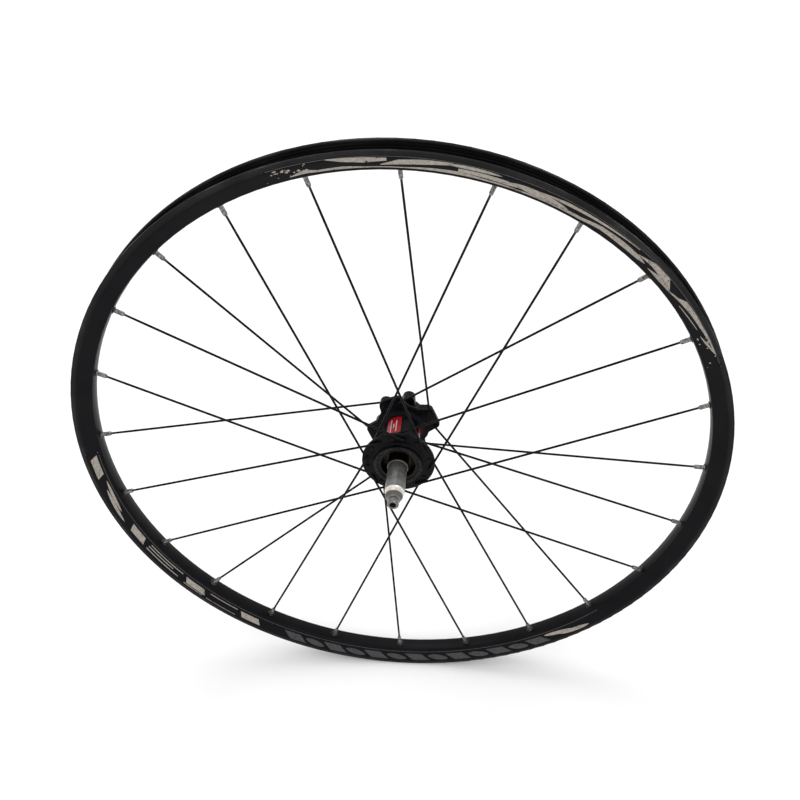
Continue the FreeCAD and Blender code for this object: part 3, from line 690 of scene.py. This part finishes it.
# %% [markdown]
# ## Nipples and eyelets
# A nipple is a turned brass nut with silver plating: four flats for the key, a round neck and a
# rounded head inside the rim. A turned outline whose girth is cut off by a square gives all of
# that in one skin. The eyelet is a pressed ring that keeps it from tearing the rim. It is black
# like the rim, and only its outer lip is rubbed bright, so the lip is a thin ring of its own.

# %% Nipple and eyelet meshes
def skin_of_rings(work, place, rings):
    """Join rings of points round to the first, given in millimetres along +X, at a matrix."""
    made = [[work.verts.new(place @ (point * MM)) for point in ring] for ring in rings]
    count = len(made[0])
    for first, second in zip(made, made[1:] + made[:1]):
        for step in range(count):
            after = (step + 1) % count
            work.faces.new((first[step], first[after], second[after], second[step]))


def turned_rings(outline, around, square=None, square_span=(0, 0)):
    """Rings about +X from (x, radius) corners. Between two places a square cuts them off."""
    rings = []
    for x, radius in outline:
        ring = []
        for step in range(around):
            angle = 2 * math.pi * (step + 0.5) / around
            reach = radius
            if square and square_span[0] <= x <= square_span[1]:
                flat = square / 2 / max(abs(math.cos(angle)), abs(math.sin(angle)))
                reach = min(radius, flat)
            ring.append(Vector((x, reach * math.cos(angle), reach * math.sin(angle))))
        rings.append(ring)
    return rings


NIPPLE_OUTLINE = (
    (-10.4, 1.06), (-10.4, 1.25), (-10.3, 1.42), (-10.0, 1.62), (-9.5, 1.85), (-9.1, 1.93),
    (-9.0, 1.95), (-5.2, 1.95), (-5.0, 1.95), (-3.6, 1.95), (-3.4, 1.95), (2.2, 1.95),
    (2.6, 2.3), (3.0, 2.75), (3.4, 2.8), (4.4, 2.8), (4.75, 2.6), (4.95, 2.3), (5.0, 1.9),
    (5.0, 1.06),
)
EYELET_OUTLINE = (
    (-0.62, 2.42), (-0.68, 2.6), (-0.62, 2.8), (-0.42, 2.95), (-0.2, 2.98), (-0.05, 2.94),
    (-0.03, 2.6), (2.43, 2.6), (2.43, 2.98), (2.6, 3.05), (2.85, 2.95), (2.9, 2.6), (2.9, 2.3),
    (-0.4, 2.3),
)
LIP_OUTLINE = (
    (-0.50, 2.86), (-0.64, 2.90), (-0.66, 3.02), (-0.56, 3.12), (-0.36, 3.14), (-0.26, 3.06),
    (-0.30, 2.92),
)
ROUND_STEPS = 40
KEY_SQUARE = 3.3
KEY_SPAN = (-10.4, -3.5)
EYELET_DEPTH = 1.2


def plated_brass():
    plate = Recipe("nipple_silver", (0.42, 0.41, 0.40), 0.34, 0.9)
    tarnish = plate.noise(1.6, 5.0, 0.65)
    grit = plate.noise(0.2, 2.0)
    worn = plate.span(tarnish, 0.36, 0.62)
    plate.colour(plate.blend(worn, (0.34, 0.325, 0.31), (0.05, 0.045, 0.04)))
    plate.roughness(plate.span(tarnish, 0.3, 0.7, 0.28, 0.52))
    plate.bump(grit, 0.01)
    return plate.material


def axis_place(origin, ahead, upright):
    """A matrix that puts +X along a direction, in metres from millimetres."""
    x = ahead.normalized()
    z = x.cross(upright).normalized()
    y = z.cross(x)
    turn = Matrix((x, y, z)).transposed().to_4x4()
    return Matrix.Translation(origin * MM) @ turn


silver = plated_brass()
nipple_work = bmesh.new()
eyelet_work = bmesh.new()
lip_work = bmesh.new()
face_radius = SEAT_RADIUS - EYELET_DEPTH
AXLE_WAY = Vector((0, 1, 0))
for number in range(1, SPOKE_COUNT + 1):
    corner, seat, _, _ = spoke_line(number)
    nipple_place = axis_place(seat, seat - corner, AXLE_WAY)
    rings = turned_rings(NIPPLE_OUTLINE, ROUND_STEPS, KEY_SQUARE, KEY_SPAN)
    skin_of_rings(nipple_work, nipple_place, rings)
    outward = seat.normalized()
    eyelet_place = axis_place(outward * face_radius, outward, AXLE_WAY)
    skin_of_rings(eyelet_work, eyelet_place, turned_rings(EYELET_OUTLINE, ROUND_STEPS))
    skin_of_rings(lip_work, eyelet_place, turned_rings(LIP_OUTLINE, ROUND_STEPS))
for work, name, material, replaced in (
    (nipple_work, "spoke_nipples", silver, ["nipples"]),
    (eyelet_work, "pressed_eyelets", rim_black, ["rim_eyelets"]),
    (lip_work, "eyelet_lips", silver, []),
):
    piece = finish_mesh(work, name, material)
    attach(piece, "wheel")
    if replaced:
        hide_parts(*replaced)
    print(name, len(piece.data.polygons), "faces")

# %% [markdown]
# ## Hub shell
# The shell is forged and turned aluminium with a satin black anodised skin. Fine turning rings
# show on the barrel. Grease and dust gather in the mouth on the chain side. The design's own
# mesh has every flange hole, lobe and bore, so it stays, and only the finish is new.

# %% Hub materials
def black_hub():
    hub = Recipe("black_hub", (0.007, 0.007, 0.008), 0.28)
    rings = hub.noise(0.3, 2.0, 0.5, hub.round_place(0.02))
    clouds = hub.noise(9.0, 4.0, 0.6)
    dust = hub.noise(1.8, 5.0, 0.7)
    in_mouth = hub.span(hub.y, -19.2, -20.6)
    base = hub.blend(hub.span(clouds, 0.35, 0.68), (0.002, 0.002, 0.003), (0.006, 0.006, 0.007))
    rub = hub.sum("MULTIPLY", in_mouth, hub.span(dust, 0.4, 0.6))
    hub.colour(hub.blend(rub, base, (0.03, 0.028, 0.026)))
    hub.roughness(hub.span(clouds, 0.3, 0.7, 0.2, 0.36))
    hub.bump(rings, 0.008)
    return hub.reflect(0.06).material


def dark_steel():
    steel = Recipe("dark_steel", (0.06, 0.055, 0.05), 0.4, 0.9)
    grease = steel.noise(1.5, 4.0, 0.6)
    greased = steel.span(grease, 0.4, 0.65)
    steel.colour(steel.blend(greased, (0.022, 0.020, 0.018), (0.006, 0.005, 0.004)))
    steel.roughness(steel.span(grease, 0.3, 0.7, 0.26, 0.5))
    return steel.bump(grease, 0.02).material


def ground_steel():
    steel = Recipe("bearing_steel", (0.55, 0.55, 0.56), 0.22, 1.0)
    rings = steel.noise(0.25, 2.0, 0.5, steel.round_place(0.02))
    clouds = steel.noise(4.0, 4.0)
    patches = steel.span(clouds, 0.4, 0.7)
    # Steel within 56 mm of the middle is painted near-black: painted shade of the hub's bore, with
    # grease patches in it. Beyond 62 mm it stays bare.
    outside = steel.span(steel.sum("ABSOLUTE", steel.y), 56.0, 62.0)
    greased = steel.blend(patches, (0.035, 0.032, 0.03), (0.014, 0.012, 0.011))
    bare = steel.blend(patches, (0.52, 0.52, 0.53), (0.38, 0.37, 0.355))
    steel.colour(steel.blend(outside, greased, bare))
    steel.roughness(steel.span(rings, 0.3, 0.7, 0.16, 0.32))
    return steel.bump(rings, 0.004).material


def moulded(name, colour, rough):
    """A moulded plastic or rubber with a fine grain."""
    piece = Recipe(name, colour, rough)
    grain = piece.noise(0.25, 3.0, 0.6)
    clouds = piece.noise(3.0, 3.0)
    piece.colour(piece.blend(piece.span(clouds, 0.3, 0.7), colour, [c * 0.6 for c in colour]))
    piece.roughness(piece.span(grain, 0.3, 0.7, rough - 0.08, rough + 0.08))
    return piece.bump(grain, 0.02).reflect(0.1).material


def raw_aluminium():
    metal = Recipe("raw_aluminium", (0.55, 0.56, 0.58), 0.38, 1.0)
    grain = metal.noise(0.6, 3.0, 0.6, metal.round_place(0.1))
    metal.roughness(metal.span(grain, 0.3, 0.7, 0.3, 0.5))
    return metal.bump(grain, 0.01).material


hub_black = black_hub()
dress(hub_black, "hub_shell", "disc_spacer")
dress(dark_steel(), "ratchet_ring", "bearing_retaining_ring")
dress(raw_aluminium(), "rim_joint_sleeve")
steel = ground_steel()
cage = moulded("cage_plastic", (0.05, 0.04, 0.035), 0.5)
rubber = moulded("seal_rubber", (0.02, 0.02, 0.022), 0.6)
for side in ("drive", "disc"):
    races = [f"{side}_bearing_{part}" for part in ("outer_race", "inner_race", "balls")]
    dress(steel, *races)
    dress(cage, f"{side}_bearing_cage")
    dress(rubber, f"{side}_bearing_seals")
dress(rubber, "disc_dust_seal")
dress(steel, "disc_lock_washer", "disc_locknut")
print("hub dressed")

# %% [markdown]
# ## Labels on the barrel
# Two red stickers wrap part of the barrel. A sticker has round corners, a slightly raised skin
# and print on top of it. The print here is only bars of different lengths.

# %% Hub labels
BARREL = 16.0
LABEL_Y = (4.6, 28.5)
LABEL_HALF_ANGLE = 25.0
LABEL_ANGLES = (115.0, -5.0)
PRINT_BARS = ((9.0, 0.10, 0.88), (-1.0, 0.38, 0.62), (-9.5, 0.16, 0.80))
PATCH_ROWS = 40
PATCH_STEPS = 24


def wrapped_patch(work, centre, half_angle, low, high, lift, thick, corner):
    """A thin patch with round corners, wrapped round the barrel about an angle."""
    radius = BARREL + lift
    half_arc = math.radians(half_angle) * radius
    corner = min(corner, half_arc * 0.98, (high - low) / 2 * 0.98)
    rows = [low + (high - low) * step / PATCH_ROWS for step in range(PATCH_ROWS + 1)]
    skins = ([], [])
    for y in rows:
        inset = max(0.0, corner - min(y - low, high - y))
        width = half_arc - corner + math.sqrt(max(corner ** 2 - inset ** 2, 0.0))
        for skin, level in zip(skins, (0.0, thick)):
            line = []
            for step in range(PATCH_STEPS + 1):
                arc = -width + 2 * width * step / PATCH_STEPS
                angle = centre + math.degrees(arc / radius)
                line.append(work.verts.new(on_circle(radius + level, angle, y) * MM))
            skin.append(line)
    inner, outer = skins
    for row in range(PATCH_ROWS):
        for step in range(PATCH_STEPS):
            for skin in skins:
                work.faces.new((
                    skin[row][step], skin[row][step + 1],
                    skin[row + 1][step + 1], skin[row + 1][step],
                ))
        for step in (0, PATCH_STEPS):
            work.faces.new((
                inner[row][step], inner[row + 1][step], outer[row + 1][step], outer[row][step],
            ))
    for row in (0, PATCH_ROWS):
        for step in range(PATCH_STEPS):
            work.faces.new((
                inner[row][step], inner[row][step + 1], outer[row][step + 1], outer[row][step],
            ))


def sticker(name, colour, rough):
    print_on = Recipe(name, colour, rough)
    clouds = print_on.noise(3.0, 4.0, 0.6)
    dust = print_on.noise(0.6, 4.0, 0.6)
    faded = print_on.span(clouds, 0.35, 0.7)
    print_on.colour(print_on.blend(faded, colour, [c * 0.6 for c in colour]))
    print_on.roughness(print_on.span(dust, 0.3, 0.7, rough - 0.07, rough + 0.1))
    return print_on.bump(dust, 0.006).reflect(0.25).material


label_red = sticker("red_label", (0.30, 0.004, 0.012), 0.3)
label_pale = sticker("label_print", (0.50, 0.42, 0.40), 0.4)
patch_work = bmesh.new()
print_work = bmesh.new()
label_length = LABEL_Y[1] - LABEL_Y[0]
for angle in LABEL_ANGLES:
    wrapped_patch(patch_work, angle, LABEL_HALF_ANGLE, *LABEL_Y, 0.04, 0.22, 1.6)
    for offset, start, end in PRINT_BARS:
        low = LABEL_Y[0] + label_length * start
        high = LABEL_Y[0] + label_length * end
        wrapped_patch(print_work, angle + offset, 1.9, low, high, 0.27, 0.03, 0.3)
for work, name, material in (
    (patch_work, "barrel_labels", label_red),
    (print_work, "barrel_label_print", label_pale),
):
    piece = finish_mesh(work, name, material)
    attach(piece, "wheel")
    if material is label_red:
        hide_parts("hub_labels")
print("labels:", len(LABEL_ANGLES))

# %% [markdown]
# ## Axle
# The axle is bare on the chain side because the freewheel body is off. Its long seat is satin
# grey with turning rings and faint brown stains of old grease. The band next to the cone is
# ground bright, the cone is dark, and the tip is a little paler again. Inside the hub the axle
# and its sleeve are painted near-black as painted shade of the hub's bore, except for the
# speckled brown end of the sleeve. All of these meet at places along the axle, so the recipe
# is a row of bands along y.

# %% Axle and sleeve materials
BAND_START = -53.1
CONE_START = -58.1
TIP_START = -61.65
SLEEVE_RIM = -21.9
SLEEVE_INSIDE = 8.7
SLEEVE_OUTSIDE = 8.8


def satin_axle():
    metal = Recipe("satin_axle", (0.3, 0.3, 0.3), 0.35, 0.85)
    rings = metal.noise(0.22, 3.0, 0.55, metal.round_place(0.015))
    stains = metal.noise(4.5, 5.0, 0.65)
    seat = metal.blend(metal.span(stains, 0.42, 0.7), (0.22, 0.225, 0.23), (0.13, 0.115, 0.10))
    bright = metal.span(metal.y, BAND_START + 0.2, BAND_START - 0.2)
    cone = metal.span(metal.y, CONE_START + 0.5, CONE_START - 0.5)
    tip = metal.span(metal.y, TIP_START + 0.25, TIP_START - 0.25)
    tone = metal.blend(bright, seat, (0.74, 0.70, 0.64))
    tone = metal.blend(cone, tone, (0.12, 0.105, 0.095))
    tone = metal.blend(tip, tone, (0.17, 0.165, 0.16))
    # Painted shade: past the sleeve's rim, inside the hub, the axle and its sleeve are painted
    # near-black.
    hub_bore_shade = metal.span(metal.y, SLEEVE_RIM - 0.7, SLEEVE_RIM + 0.7)
    tone = metal.blend(hub_bore_shade, tone, (0.012, 0.010, 0.009))
    speckle = metal.span(metal.noise(0.5, 4.0, 0.7), 0.4, 0.6)
    sleeve_end = metal.span(metal.y, SLEEVE_RIM + 0.5, SLEEVE_RIM - 0.5)
    sleeve_skin = metal.span(metal.radius(), SLEEVE_INSIDE, SLEEVE_OUTSIDE)
    edge = metal.sum("MULTIPLY", sleeve_end, sleeve_skin)
    rust = metal.blend(speckle, (0.24, 0.17, 0.12), (0.06, 0.045, 0.035))
    metal.colour(metal.blend(edge, tone, rust))
    rough = metal.span(rings, 0.3, 0.7, 0.26, 0.46)
    metal.roughness(metal.sum("SUBTRACT", rough, metal.sum("MULTIPLY", bright, 0.08)))
    return metal.bump(rings, 0.012).material


dress(satin_axle(), "axle", "drive_sleeve")
axle_low, axle_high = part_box("axle")
print("axle runs from", round(axle_low[1] / MM, 1), "to", round(axle_high[1] / MM, 1))
